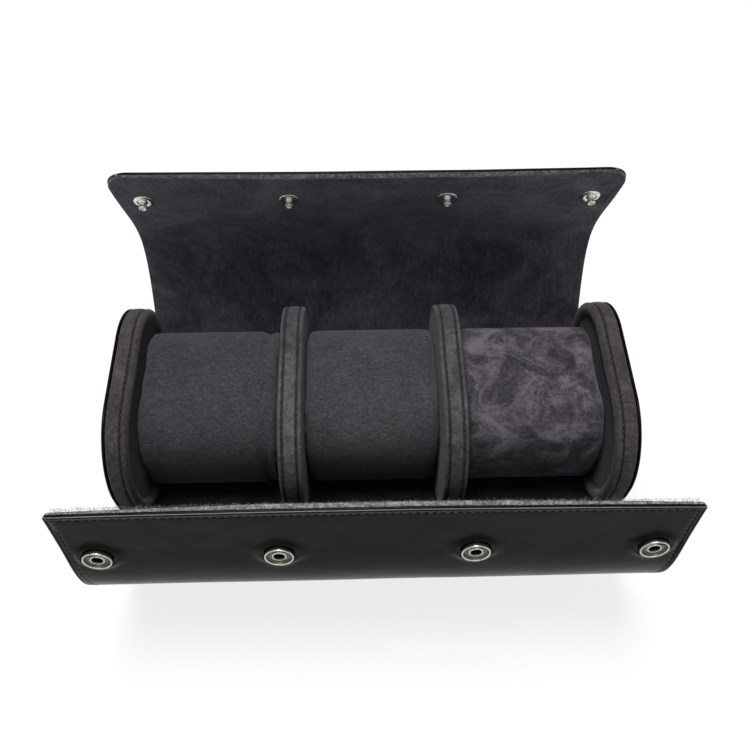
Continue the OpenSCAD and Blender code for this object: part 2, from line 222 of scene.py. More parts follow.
def ramp(tree, source, stops):
    """Colours, or greys given as one number, along a texture's value."""
    node = tree.nodes.new("ShaderNodeValToRGB")
    tree.links.new(source, node.inputs["Fac"])
    elements = node.color_ramp.elements
    while len(elements) < len(stops):
        elements.new(0.5)
    for element, (place, colour) in zip(elements, stops):
        element.position = place
        element.color = (*(colour if isinstance(colour, tuple) else (colour,) * 3), 1)
    return node.outputs["Color"]


def noise_of(tree, at, scale, detail, roughness=0.5, distortion=0.0):
    return add_node(tree, "ShaderNodeTexNoise", {"Vector": at}, Scale=scale, Detail=detail,
                    Roughness=roughness, Distortion=distortion).outputs["Fac"]


def math_of(tree, operation, *inputs):
    """A Math node's value, from sockets or plain numbers."""
    node = tree.nodes.new("ShaderNodeMath")
    node.operation = operation
    for socket, source in zip(node.inputs, inputs):
        if isinstance(source, (int, float)):
            socket.default_value = source
        else:
            tree.links.new(source, socket)
    return node.outputs["Value"]


def mixed(tree, *parts):
    """Adds up textures about their middle grey, each with its weight, round 0.5."""
    total = None
    for source, weight in parts:
        if total is None:
            total = math_of(tree, "MULTIPLY_ADD", source, weight, 0.5 - weight / 2)
        else:
            part = math_of(tree, "MULTIPLY_ADD", source, weight, -weight / 2)
            total = math_of(tree, "ADD", total, part)
    return total


def tinted(tree, kind, colour, by):
    """A colour with another added to it or multiplied into it."""
    node = add_node(tree, "ShaderNodeMix", {6: colour, 7: by}, data_type="RGBA", blend_type=kind)
    node.inputs[0].default_value = 1
    return node.outputs[2]


def bumped(tree, height, strength, distance, under=None):
    """The normal of a surface with a texture as its relief, over another relief if given."""
    links = {"Height": height}
    if under is not None:
        links["Normal"] = under
    return add_node(tree, "ShaderNodeBump", links, Strength=strength, Distance=distance).outputs["Normal"]


def dress(tree, shader, varied, **uniform):
    """Joins a shader's varied inputs, and sets its uniform ones."""
    for name, source in varied.items():
        tree.links.new(source, shader.inputs[name])
    for name, value in uniform.items():
        shader.inputs[name.replace("_", " ")].default_value = value


def from_edge(tree):
    """How far a point of the wrap is from the edge of its flap, from the wrap's own map."""
    at = add_node(tree, "ShaderNodeSeparateXYZ", {"Vector": surface_points(tree, True)})
    return math_of(tree, "MINIMUM", at.outputs["Y"], math_of(tree, "SUBTRACT", wrap_len, at.outputs["Y"]))


EDGE_PER_M = 125  # of the ramp that colours the wrap's edge


def leather(name, follows_surface):
    material, tree, shader = new_material(name)
    at = surface_points(tree, follows_surface)
    cloud = noise_of(tree, at, 22, 5, 0.6)
    grain = noise_of(tree, at, 650, 4, 0.65)
    pores = add_node(tree, "ShaderNodeTexVoronoi", {"Vector": at}, Scale=1300, Randomness=1.0)
    tone = ramp(tree, mixed(tree, (cloud, 1.3), (grain, 0.7)), [
        (0.25, (0.0016, 0.0013, 0.0012)), (0.5, (0.0028, 0.0022, 0.0019)), (0.8, (0.0060, 0.0048, 0.0038))])
    if follows_surface:
        inset = math_of(tree, "MULTIPLY", from_edge(tree), EDGE_PER_M)
        ragged = math_of(tree, "ADD", inset, mixed(tree, (grain, 0.05), (cloud, 0.06)))
        # From the edge at 0.5 inwards: cut side, bright bead as a painted highlight, dark crease, a line of
        # painted light, and a faint one
        tone = tinted(tree, "ADD", tone, ramp(tree, ragged, [
            (0.500, 0.002), (0.530, 0.004), (0.550, 0.24), (0.600, 0.30), (0.625, 0.02), (0.640, 0.0),
            (0.745, 0.0), (0.780, 0.065), (0.850, 0.055), (0.885, 0.0), (0.955, 0.0), (0.985, 0.008),
            (1.0, 0.0)]))
    gloss = ramp(tree, noise_of(tree, at, 75, 3, 0.6), [(0.3, 0.21), (0.7, 0.29)])
    soft = bumped(tree, noise_of(tree, at, 38, 3), 0.5, 0.0012)
    fine = bumped(tree, mixed(tree, (pores.outputs["Distance"], 0.8), (grain, 0.9)), 0.25, 0.00008, soft)
    dress(tree, shader, {"Base Color": tone, "Roughness": gloss, "Normal": fine},
          Specular_IOR_Level=0.045, Specular_Tint=(1.0, 0.97, 0.91, 1), Sheen_Weight=0.08,
          Sheen_Roughness=0.12, Sheen_Tint=(0.9, 0.88, 0.82, 1))
    return material


wrap_leather = leather("wrap_leather", True)
panel_leather = leather("panel_leather", False)

# ----------------------------------------
# Thread. Bonded black polyester, sewn in rows that sink into a pressed line.
# ----------------------------------------
def thread(name, dark, light):
    material, tree, shader = new_material(name)
    twist = noise_of(tree, surface_points(tree, False), 2600, 2)
    tone = ramp(tree, twist, [(0.35, dark), (0.7, light)])
    dress(tree, shader, {"Base Color": tone, "Normal": bumped(tree, twist, 0.5, 0.0001)}, Roughness=0.5)
    return material


black_thread = thread("black_thread", 0.006, 0.026)
# A darker copy of the thread for the suede's rows: painted shade of the stitch grooves.
shaded_thread = thread("shaded_thread", 0.002, 0.009)
stitch_len = 2.5 * MM
stitch_pitch = 3.3 * MM
thread_r = 0.34 * MM


def points_of(verts):
    return np.array([v.co for v in verts])


def move_to(verts, places):
    for vert, place in zip(verts, places):
        vert.co = place


def faces_out(bm):
    bmesh.ops.recalc_face_normals(bm, faces=bm.faces[:])
    return bm


def smooth(bm):
    for face in bm.faces:
        face.smooth = True
    return bm


def as_mesh(name, bm):
    mesh = bpy.data.meshes.new(name)
    bm.to_mesh(mesh)
    bm.free()
    return mesh


def add_copies(bm, mesh, placed):
    """Adds a copy of a small mesh for each row of points in placed, and drops that mesh."""
    row = bmesh.new()
    for _ in placed:
        row.from_mesh(mesh)
    move_to(row.verts, placed.reshape(-1, 3))
    row.to_mesh(mesh)
    row.free()
    bm.from_mesh(mesh)
    bpy.data.meshes.remove(mesh)


def sew(bm, places, material_index):
    """Adds one stitch at each place: (point, direction along the row, direction out of the surface)."""
    stitch = bmesh.new()
    bmesh.ops.create_uvsphere(stitch, u_segments=7, v_segments=6, radius=1,
                              matrix=Matrix.Rotation(math.pi / 2, 4, "Y"))
    for face in stitch.faces:
        face.material_index = material_index
    mesh = as_mesh("stitch", smooth(stitch))
    form = points_of(mesh.vertices) * (stitch_len / 2, thread_r, thread_r)
    form[:, 2] -= 1.2 * thread_r * (form[:, 0] / (stitch_len / 2)) ** 4
    axes = np.array([(along, out.cross(along), out) for _, along, out in places])
    spots = np.array([point for point, _, _ in places])
    add_copies(bm, mesh, np.einsum("vk,pkc->pvc", form, axes) + spots[:, None])


# ----------------------------------------
# Leather of the wrap. Cut flat as one long piece with rounded corners, its
# edge turned and creased, and sewn to the lining 3.5 mm in from the edge.
# It is cut into stretches, one over each fold of both flaps.
# ----------------------------------------
leather_t = 1.4 * MM
wrap_t = 4.0 * MM
front_corner = 2.5 * MM
back_corner = 12.5 * MM
seam_in = 3.5 * MM
crease_in = 1.5 * MM
socket_seat_r = 2.75 * MM
seat_swell_r = 7.7 * MM
front_cut = 13 * MM
back_cut = 10 * MM
half_w = case_w / 2
BEND = 14 * MM
SAME_SPOT = 1e-7
base_cut_y = (-0.015, 0.010)


def corner_loop(half_a, lo, hi, r_lo, r_hi, inset, turns=9):
    """Outline of a rounded rectangle, as the same number of points at any inset."""
    points = []
    for sa, edge, way, r in ((-1, lo, 1, r_lo), (1, lo, 1, r_lo), (1, hi, -1, r_hi), (-1, hi, -1, r_hi)):
        rr = max(r - inset, 0.25 * MM)
        ca = sa * (half_a - inset - rr)
        cb = edge + way * (inset + rr)
        first = sa * way > 0
        for i in range(turns + 1):
            f = i / turns * math.pi / 2
            ang = math.pi / 2 - f if first else f
            points.append((ca + sa * rr * math.cos(ang), cb - way * rr * math.sin(ang)))
    return points


def edge_distance(a, b, half_a, lo, hi, r_lo, r_hi):
    """How far a point of a rounded rectangle is from its edge."""
    da = half_a - np.abs(a)
    low, high = b - lo, hi - b
    d = np.minimum(da, np.minimum(low, high))
    for db, r in ((low, r_lo), (high, r_hi)):
        corner = (da < r) & (db < r)
        d = np.where(corner, r - np.hypot(r - da, r - db), d)
    return np.maximum(d, 0)


def verts_in(result):
    return [g for g in result["geom"] if isinstance(g, bmesh.types.BMVert)]


def cut_flat(half_a, lo, hi, r_lo, r_hi, rings, cuts_a, cuts_b):
    """A closed flat sheet with rows along its edge, cut both ways so that it bends. Face z 0, back z 1."""
    bm = bmesh.new()
    outline = corner_loop(half_a, lo, hi, r_lo, r_hi, 0)
    face = bm.faces.new([bm.verts.new((a, b, 0)) for a, b in outline])
    for inset in rings:
        bmesh.ops.inset_region(bm, faces=[face], thickness=1e-6, use_boundary=True)
        start, second = (face.verts[i].co.copy() for i in (0, 1))
        goal = [Vector((a, b, 0)) for a, b in corner_loop(half_a, lo, hi, r_lo, r_hi, inset)]
        count = len(goal)
        first = min(range(count), key=lambda i: (start - goal[i]).length)
        ahead, behind = goal[(first + 1) % count], goal[first - 1]
        step = -1 if (second - ahead).length > (second - behind).length else 1
        move_to(face.verts, [goal[(first + step * i) % count] for i in range(count)])
    for way, cuts in (((1, 0, 0), cuts_a), ((0, 1, 0), cuts_b)):
        for c in cuts:
            bmesh.ops.bisect_plane(bm, geom=bm.verts[:] + bm.edges[:] + bm.faces[:],
                                   plane_co=[c * w for w in way], plane_no=way, dist=SAME_SPOT)
    back = bmesh.ops.extrude_face_region(bm, geom=bm.faces[:])
    bmesh.ops.translate(bm, verts=verts_in(back), vec=(0, 0, 1))
    return faces_out(bm)


def rounded(dist, r):
    """How far a rounded edge falls below its face."""
    return r - np.sqrt(np.maximum(r**2 - np.maximum(r - dist, 0) ** 2, 0))


def ridge(x, middle, width):
    return np.exp(-(((x - middle) / width) ** 2))


def waves(a, b, reach, seed):
    """A slow unevenness between -1 and 1, the same each time."""
    return np.array([noise.noise(Vector((u / reach, v / reach, seed))) for u, v in zip(a, b)])


def piece(name, bm, *materials):
    """Makes a finished object from a bmesh, with its place in its mesh."""
    mesh = as_mesh(name, bm)
    for material in materials:
        mesh.materials.append(material)
    made = bpy.data.objects.new(name, mesh)
    bpy.context.scene.collection.objects.link(made)
    return made


def s_at_y(y):
    """Place along the wrap of a point of the base."""
    on_base = (section_s > front_fold_s[0]) & (section_s < back_fold_s[0])
    return float(np.interp(y, section[on_base, 0], section_s[on_base]))


# Each stretch of the wrap: its ends, its bodies, where it bends, and the fold that it covers
front_mid = [(a + b) / 2 for a, b in zip(front_fold_s, front_fold_s[1:])] + [front_fold_s[4] - BEND]
back_mid = [(a + b) / 2 for a, b in zip(back_fold_s, back_fold_s[1:])] + [back_fold_s[3] + BEND]
base_lo, base_hi = (s_at_y(y) for y in base_cut_y)
stretches = [(0.0, front_mid[4], "front_flap_5", None, None, ("front", 5))]
for k in (4, 3, 2, 1):
    lo, hi = front_mid[k], front_mid[k - 1]
    stretches.append((lo, hi, f"front_flap_{k}", f"front_flap_{k + 1}", (hi, lo), ("front", k + 1)))
lo = front_mid[0]
stretches.append((lo, base_lo, "case", "front_flap_1", (front_fold_s[0], lo), ("front", 1)))
stretches.append((base_lo, base_hi, "case", None, None, ("base", None)))
hi = back_mid[0]
stretches.append((base_hi, hi, "case", "back_flap_1", (back_fold_s[0], hi), ("back", 1)))
for k in (1, 2, 3):
    lo, hi = back_mid[k - 1], back_mid[k]
    stretches.append((lo, hi, f"back_flap_{k}", f"back_flap_{k + 1}", (lo, hi), ("back", k + 1)))
stretches.append((hi, wrap_len, "back_flap_4", None, None, ("back", 4)))


def trimmed(flat):
    """Hand-cut edges: the front one falls away a little to its corners, the back one in its middle."""
    u = flat[:, 0] / half_w
    near_front = np.clip(1 - flat[:, 1] / front_cut, 0, 1) ** 1.5
    near_back = np.clip(1 - (wrap_len - flat[:, 1]) / back_cut, 0, 1) ** 1.5
    flat[:, 1] += (0.5 + 0.95 * u + 2.0 * u**2) * MM * near_front - 1.9 * (1 - u**2) * MM * near_back
    return flat


def wrap_up(kind, flat, materials, nodes):
    """Cuts a flat sheet at its stretches, wraps each round the case and ties each one without a bend to its
    body.
    """
    for lo, hi, body, next_body, bend, (side, number) in stretches:
        bm = flat.copy()
        for s, way in ((lo, -1), (hi, 1)):
            if 0 < s < wrap_len:
                cut = bmesh.ops.bisect_plane(
                    bm, geom=bm.verts[:] + bm.edges[:] + bm.faces[:], plane_co=(0, s, 0),
                    plane_no=(0, way, 0), clear_outer=True, dist=SAME_SPOT)
                rim = [g for g in cut["geom_cut"] if isinstance(g, bmesh.types.BMEdge)]
                bmesh.ops.holes_fill(bm, edges=rim, sides=0)
                for edge in rim:
                    edge.smooth = False
        layer = bm.loops.layers.uv.new("pattern")
        bm.normal_update()
        for face in smooth(bm).faces:
            for loop in face.loops:
                co = loop.vert.co
                loop[layer].uv = (co.x + face.normal.x * co.z, co.y + face.normal.y * co.z)
        move_to(bm.verts, on_wrap(trimmed(points_of(bm.verts))))
        name = f"{side}_{kind}"
        if number:
            name += f"_bend_{number}" if next_body else "_edge"
        made = piece(name, bm, *materials)
        if next_body:
            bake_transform(made)
        else:
            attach(made, body)
        for node in nodes:
            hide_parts(f"{side}_{node}_{number}" if number else f"{side}_{node}")


def along_wrap(node):
    """Place along the wrap of the middle of a row of studs or sockets."""
    low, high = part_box(node)
    middle = (np.array(low[1:]) + high[1:]) / 2
    return float(section_s[np.argmin(np.hypot(*(section - middle).T))])


snap_x = [-0.116, -0.041, 0.041, 0.116]
socket_s = along_wrap("socket_eyelets")
stud_s = along_wrap("stud_caps")
snap_rings = (0.9, 1.9, 2.5, 3.1, 4.0, 4.9, 5.5, 6.1, 7.0, 8.2)
snap_grid = [0.0] + [way * r * MM for r in snap_rings for way in (-1, 1)]


def snap_distance(x, s, row_s):
    """How far a point of the wrap is from the nearest stud or socket of a row."""
    return np.min([np.hypot(x - place, s - row_s) for place in snap_x], axis=0)


def wrap_waves(x, s):
    """Soft unevenness that the leather and its lining share, and that the studs and sockets hold flat."""
    near = np.minimum(snap_distance(x, s, socket_s), snap_distance(x, s, stud_s))
    return 0.22 * MM * waves(x, s, 0.045, 3.0) * (1 - np.exp(-((near / (10 * MM)) ** 4)))


def without_close(places, extra, gap):
    """Evenly spaced cuts with the close ones round the studs put in their stead."""
    kept = [p for p in places if min(abs(p - e) for e in extra) > gap]
    return sorted(kept + list(extra))


across = without_close([0.003 * k for k in range(-42, 43)],
                       [x + d for x in snap_x for d in snap_grid], 0.7 * MM)
along = without_close([s * MM for s in np.arange(2, wrap_len / MM - 1, 2)],
                      [s + d for s in (socket_s, stud_s) for d in snap_grid], 0.5 * MM)
near_bends = [s + side * 0.2 * MM for lo, hi, *_ in stretches for s in (lo, hi) for side in (-1, 1)
              if 0.001 < s < wrap_len - 0.001]
edge_rows = [0.12 * MM, 0.35 * MM, 0.8 * MM]
edge_rows += [crease_in - 0.25 * MM, crease_in, crease_in + 0.3 * MM, 2.6 * MM]
edge_rows += [seam_in - 0.45 * MM, seam_in, seam_in + 0.45 * MM, 4.6 * MM]
flat = cut_flat(half_w, 0, wrap_len, front_corner, back_corner, edge_rows, across, along + near_bends)
co = points_of(flat.verts)
dist = edge_distance(co[:, 0], co[:, 1], half_w, 0, wrap_len, front_corner, back_corner)
edge_drop = rounded(dist, 0.7 * MM)
shared = wrap_waves(co[:, 0], co[:, 1])
groove = 0.28 * MM * ridge(dist, seam_in, 0.32 * MM) + 0.22 * MM * ridge(dist, crease_in, 0.22 * MM)
round_socket = snap_distance(co[:, 0], co[:, 1], socket_s)
seat = 0.69 * MM * (1 - np.tanh((round_socket - socket_seat_r) / (0.24 * MM)))
seat -= 1.1 * MM * ridge(round_socket, seat_swell_r, 1.6 * MM)
depth = np.where(co[:, 2] < 0.5, edge_drop + groove + seat, leather_t - edge_drop * 0.6) + shared
for vert, d in zip(flat.verts, depth):
    vert.co.z = d


def row_places(loop_points, depth_at):
    """Stitches at an even pitch round a closed row of flat points."""
    p = np.array(loop_points + loop_points[:1])
    run = run_along(p)
    count = int(run[-1] / stitch_pitch)
    found = []
    for i in range(count):
        here = (i + 0.5) / count * run[-1]
        a, b = (on_curve(place % run[-1], run, p) for place in (here, here + 0.3 * MM))
        found.append((Vector((*a, depth_at)), Vector((*(b - a), 0)).normalized(), Vector((0, 0, -1))))
    return found


seam_row = corner_loop(half_w, 0, wrap_len, front_corner, back_corner, seam_in)
sew(flat, row_places(seam_row, 0.12 * MM), 1)
wrap_up("leather", flat, (wrap_leather, black_thread), ("leather", "board"))
flat.free()

# ----------------------------------------
# Suede. Dense microsuede, dark grey with a violet cast. The nap lies in
# patches that catch the light differently, with short ripples across them.
# ----------------------------------------
def suede(name, follows_surface, tones, lie, patches, blotch, shift=0.0, fine=560, shaded_seam_x=(),
          tone_along=None):
    """tones: the nap lying away, level and towards the light. lie: the way its ripples run.
    shaded_seam_x: sewn rows, darkened as painted shade of their grooves. tone_along: where along the wrap
    the tone is multiplied from a first to a last factor, and those factors."""
    material, tree, shader = new_material(name)
    at = surface_points(tree, follows_surface)
    cloud = noise_of(tree, at, patches, 4, 0.62, 1.4)
    ripple = noise_of(tree, surface_points(tree, follows_surface, lie), fine, 4, 0.62, 0.9)
    fibre = noise_of(tree, at, 1500, 3, 0.75)
    nap = mixed(tree, (cloud, blotch), (ripple, 0.9), (fibre, 1.1))
    tone = ramp(tree, nap, [(step - shift, tone) for step, tone in zip((0.2, 0.5, 0.85), tones)])
    place = add_node(tree, "ShaderNodeSeparateXYZ", {"Vector": at})
    # Multiplies the tone along the wrap, from the first factor to the last.
    if tone_along:
        lo, hi, first_factor, last_factor = tone_along
        along = math_of(tree, "MULTIPLY", math_of(tree, "SUBTRACT", place.outputs["Y"], lo), 1 / (hi - lo))
        factor_steps = [(0.0, first_factor), (0.55, 0.4 * first_factor + 0.6 * last_factor), (1.0, last_factor)]
        tone = tinted(tree, "MULTIPLY", tone, ramp(tree, along, factor_steps))
    # Painted shade: the tone darkens to 0.22 along the sewn rows, where the grooves' shade would fall.
    if shaded_seam_x:
        reach = math_of(tree, "ABSOLUTE", place.outputs["X"])
        nearest = 1.0
        for x in shaded_seam_x:
            off = math_of(tree, "ABSOLUTE", math_of(tree, "SUBTRACT", reach, x))
            nearest = math_of(tree, "MINIMUM", nearest, off)
        tone = tinted(tree, "MULTIPLY", tone, ramp(tree, math_of(tree, "MULTIPLY", nearest, 500), [
            (0.0, 0.22), (0.2, 0.3), (0.48, 0.93), (0.62, 1.0)]))
    lay = bumped(tree, mixed(tree, (cloud, 0.5), (ripple, 1.0)), 0.7, 0.0009)
    dress(tree, shader, {"Base Color": tone, "Normal": bumped(tree, fibre, 0.6, 0.0004, lay)},
          Roughness=0.95, Specular_IOR_Level=0.15, Sheen_Weight=0.22, Sheen_Roughness=0.4,
          Sheen_Tint=(0.66, 0.60, 0.68, 1))
    return material


# The lining's tones are set lighter than the other suede's as painted light. Along the wrap they are
# multiplied by 0.22 over the front flap, the base and the low back flap, rising to 1.15 at the back flap's
# top: painted shade low down and painted light where the flap faces up.
lit_lining_tones = ((0.034, 0.030, 0.042), (0.073, 0.066, 0.082), (0.135, 0.123, 0.146))
wrap_suede = suede("wrap_suede", True, lit_lining_tones, (1.0, 0.4, 1), 24, 1.3,
                   tone_along=(back_fold_s[0] - 0.02, wrap_len, 0.22, 1.15))
# Along the wrap, the raw edge keeps its tone on the front flap and is darkened to 0.3 of it on the back
# flap.
raw_tones = ((0.065, 0.063, 0.068), (0.20, 0.195, 0.20), (0.43, 0.42, 0.42))
raw_suede = suede("raw_suede", True, raw_tones, (1.4, 1.4, 1), 420, 1.6,
                  tone_along=(front_fold_s[0], back_fold_s[0], 1.0, 0.3))

# ----------------------------------------
# Lining of the wrap. One piece of suede laid over the stiffening board, cut
# raw a little inside the leather's edge.
# ----------------------------------------
lining_in = 0.35 * MM
lining_w = half_w - lining_in
under_flange_r = 5.5 * MM
stud_dimple_r = 7.3 * MM
fibre_root = lining_in + 0.15 * MM
rows = [0.15 * MM, 0.45 * MM, 1.0 * MM, 2.0 * MM, 4.0 * MM]
lining_shape = (lining_w, lining_in, wrap_len - lining_in,
                front_corner - lining_in, back_corner - lining_in)
flat = cut_flat(*lining_shape, rows, across, along + near_bends)
co = points_of(flat.verts)
dist = edge_distance(co[:, 0], co[:, 1], *lining_shape)
edge_drop = rounded(dist, 0.9 * MM)
shared = wrap_waves(co[:, 0], co[:, 1])
nap = 0.06 * MM * waves(co[:, 0], co[:, 1], 0.004, 8.0)
round_stud = snap_distance(co[:, 0], co[:, 1], stud_s)
nap -= 0.21 * MM * (1 - np.tanh((round_stud - under_flange_r) / (0.3 * MM)))
nap -= 0.12 * MM * (1 - np.tanh((round_stud - stud_dimple_r) / (0.6 * MM)))
corner = np.clip((np.abs(co[:, 0]) - 0.05) / 0.08, 0, 1)
pressed = corner * np.exp(-np.minimum(co[:, 1], wrap_len - co[:, 1]) / (9 * MM)) * 1.5 * MM
depth = np.where(co[:, 2] < 0.5, leather_t + 0.02 * MM, wrap_t - edge_drop + nap - pressed) + shared
down_edge = co[:, 1] + co[:, 2] * 0.7 * MM
frayed = 0.26 * MM * waves(co[:, 0], down_edge, 0.0032, 2.0)
frayed += 0.25 * MM * waves(co[:, 0], down_edge, 0.0075, 4.0)
fold_line = back_fold_s[3] + 0.6 * MM * waves(co[:, 0], co[:, 0], 0.03, 9.0)
depth += np.where(co[:, 2] < 0.5, 0, -0.3 * MM) * ridge(co[:, 1], fold_line, 1.3 * MM)
for vert, d, out, rim in zip(flat.verts, depth, frayed, dist):
    vert.co.z = d
    if rim < 0.3 * MM:
        vert.co.y += out if vert.co.y > wrap_len / 2 else -out
for face in flat.faces:
    if max(dist[v.index] for v in face.verts) < 0.2 * MM:
        face.material_index = 1


def fray(flat, half, s_edge, way, count, seed):
    """Loose fibres of the raw edge: short thin slips that lean every way."""
    rng = np.random.default_rng(seed)
    slip = bmesh.new()
    bmesh.ops.create_cone(slip, cap_ends=True, segments=3, radius1=1, radius2=0.25, depth=1)
    bmesh.ops.translate(slip, verts=slip.verts[:], vec=(0, 0, 0.5))
    for face in slip.faces:
        face.material_index = 1
    mesh = as_mesh("slip", slip)
    form = points_of(mesh.vertices)
    along = rng.uniform(-half, half, count)
    foot = np.stack([along, np.full(count, s_edge), rng.uniform(1.6, 3.9, count) * MM], 1)
    sideways = rng.normal(0, 0.8, count)
    outwards = -way * rng.uniform(0.25, 1.0, count)
    lean = np.stack([sideways, outwards, rng.normal(0.1, 0.5, count)], 1)
    lean /= np.linalg.norm(lean, axis=1, keepdims=True)
    across_lean = np.cross(lean, (0, 0, 1.0))
    across_lean /= np.linalg.norm(across_lean, axis=1, keepdims=True)
    third = np.cross(lean, across_lean)
    length = rng.gamma(3.0, 0.2, count) * MM + 0.2 * MM
    thick = rng.uniform(0.04, 0.11, count) * MM
    axes = np.stack([across_lean * thick[:, None], third * thick[:, None], lean * length[:, None]], 1)
    add_copies(flat, mesh, np.einsum("vk,pkc->pvc", form, axes) + foot[:, None])


fray(flat, 0.127, fibre_root, 1, 3600, 5)
fray(flat, 0.112, wrap_len - fibre_root, -1, 600, 6)
wrap_up("lining", flat, (wrap_suede, raw_suede), ("lining",))
flat.free()

# ----------------------------------------
# Ends. A stiff oval plate with thin foam, a band of suede round its edge,
# suede inside, and outside a leather panel padded to a low crown. The band
# is sewn near its inner roll, and the panel's edge is a narrow leather bead.
# ----------------------------------------
end_d = 0.112
end_h = 0.078
oval_r = 0.036
oval_mid = wrap_t + end_h / 2
oval_steps = 168
end_seam_x = 122.5 * MM
panel_x, panel_back_x = 131.3 * MM, 129.4 * MM
inner_x, inner_back_x = 121.9 * MM, 123.9 * MM
part_suede = suede("part_suede", False,
                  ((0.021, 0.018, 0.022), (0.043, 0.038, 0.043), (0.088, 0.078, 0.086)),
                  (0.7, 0.7, 0.7), 30, 0.7, shaded_seam_x=(end_seam_x,))
# A darker copy of the suede for the ends' inner faces and the dividers' faces: painted shade where little
# light reaches.
shaded_suede = suede("shaded_suede", False,
                    ((0.010, 0.009, 0.012), (0.019, 0.017, 0.020), (0.036, 0.033, 0.038)),
                    (0.7, 0.7, 0.7), 30, 0.9)


def oval_places(count):
    """Evenly spaced points round the oval, as (y, z) and the direction out."""
    straight_y, straight_z = end_d - 2 * oval_r, end_h - 2 * oval_r
    bend = oval_r * math.pi / 2
    half_y = ("line", straight_y / 2)
    legs = [half_y, ("arc", bend), ("line", straight_z), ("arc", bend), half_y] * 2
    total = sum(length for _, length in legs)
    found = []
    for i in range(count):
        here = i / count * total
        heading = 0.0
        y, z = 0.0, -end_h / 2
        for form, length in legs:
            part = min(here, length)
            if form == "line":
                y += part * math.cos(heading)
                z += part * math.sin(heading)
            else:
                turned = part / oval_r
                y += oval_r * (math.sin(heading + turned) - math.sin(heading))
                z += oval_r * (math.cos(heading) - math.cos(heading + turned))
                heading += turned
            here -= part
            if here <= 1e-12:
                break
        found.append((y, z + oval_mid, math.sin(heading), -math.cos(heading)))
    return np.array(found)


oval_ring = oval_places(oval_steps)


def sweep_oval(profile, flip=1, step=0.3 * MM):
    """A closed tube round the oval, from a closed profile of (x, inset)."""
    line, _, _ = spline(list(profile) + [profile[0]], step)
    line = line[:-1]
    bm = bmesh.new()
    bmesh.ops.create_grid(bm, x_segments=len(line), y_segments=oval_steps, size=0.5)
    bm.verts.ensure_lookup_table()
    for vert in bm.verts:
        i = int(round((vert.co.x + 0.5) * len(line))) % len(line)
        j = int(round((vert.co.y + 0.5) * oval_steps)) % oval_steps
        x, inset = line[i]
        y, z, ny, nz = oval_ring[j]
        vert.co = (flip * x, y - ny * inset, z - nz * inset)
    bmesh.ops.remove_doubles(bm, verts=bm.verts[:], dist=1e-7)
    return smooth(faces_out(bm))


def oval_row(x, inset, flip=1):
    """Stitches round the oval at one x."""
    length = 2 * (end_d + end_h) - 8 * oval_r + 2 * math.pi * oval_r
    return [(Vector((flip * x, y - ny * inset, z - nz * inset)), Vector((0, -nz, ny)), Vector((0, ny, nz)))
            for y, z, ny, nz in oval_places(int(length / stitch_pitch))]


def oval_pad(x_face, x_back, inset, rings, crown, flip=1, step=4 * MM):
    """A closed pad over the oval, with the height of its face given by its distance from the edge."""
    lo, hi = wrap_t + inset, wrap_t + end_h - inset
    half, r = end_d / 2 - inset, oval_r - inset
    cuts_a = np.arange(-half + step, half, step)
    cuts_b = np.arange(lo + step, hi, step)
    bm = cut_flat(half, lo, hi, r, r, rings, cuts_a, cuts_b)
    co = points_of(bm.verts)
    dist = edge_distance(co[:, 0], co[:, 1], half, lo, hi, r, r)
    x = np.where(co[:, 2] < 0.5, x_face + crown(dist, co[:, 0], co[:, 1]), x_back)
    move_to(bm.verts, np.stack([flip * x, co[:, 0], co[:, 1]], 1))
    return smooth(faces_out(bm))


# The band from its inner roll over the seam to its outer edge, then the bead outside it
band_profile = [(x * MM, inset * MM) for x, inset in (
    (122.6, 7.0), (120.7, 6.7), (119.5, 5.2), (119.15, 3.2), (119.5, 1.3), (120.5, 0.15), (121.5, 0.0),
    (122.15, 0.45), (122.5, 1.1), (122.85, 0.45), (123.5, 0.0), (124.9, -0.22), (126.6, -0.25),
    (128.3, -0.15), (129.2, 0.05), (129.65, 0.5), (129.7, 1.3), (129.0, 2.2), (125.0, 3.0))]
bead_profile = [(x * MM, inset * MM) for x, inset in (
    (129.75, 1.4), (129.8, 0.55), (130.1, 0.0), (130.6, -0.15), (131.15, 0.05), (131.55, 0.65),
    (131.5, 1.6), (130.6, 2.2))]
inner_rings = [k * MM for k in (0.4, 1.2, 2.5, 4.5, 8)]


def end_crown(dist, y, z):
    swell = 3.1 * MM * (1 - np.exp(-dist / (9 * MM)))
    return swell + 0.12 * MM * waves(y, z, 0.02, 5.0) * (1 - np.exp(-dist / (6 * MM)))


def end_inner(dist, y, z):
    return -0.4 * MM * (1 - np.exp(-dist / (5 * MM))) + 0.08 * MM * waves(y, z, 0.012, 6.0)


for side, flip in (("left", -1), ("right", 1)):
    band = sweep_oval(band_profile, flip)
    sew(band, oval_row(end_seam_x, 0.62 * MM, flip), 1)
    band = piece(f"{side}_end_band_suede", band, part_suede, shaded_thread)
    bead = piece(f"{side}_end_bead", sweep_oval(bead_profile, flip), panel_leather)
    rings = [k * MM for k in (0.3, 0.8, 1.6, 3, 5, 8, 12)]
    panel = oval_pad(panel_x, panel_back_x, 0.9 * MM, rings, end_crown, flip)
    panel = piece(f"{side}_end_panel", panel, panel_leather)
    inner = oval_pad(inner_x, inner_back_x, 3.6 * MM, inner_rings, end_inner, flip)
    # The end's inner face is painted shade: a darker copy of the suede.
    inner = piece(f"{side}_end_inner_suede", inner, shaded_suede)
    for made, nodes, slot in (
        (band, ("end_band",), "suede"), (bead, ("end_leather",), "leather"),
        (panel, ("end_leather", "end_core"), "leather"), (inner, ("end_lining",), "suede"),
    ):
        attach(made, "case")
        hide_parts(*[f"{side}_{node}" for node in nodes])

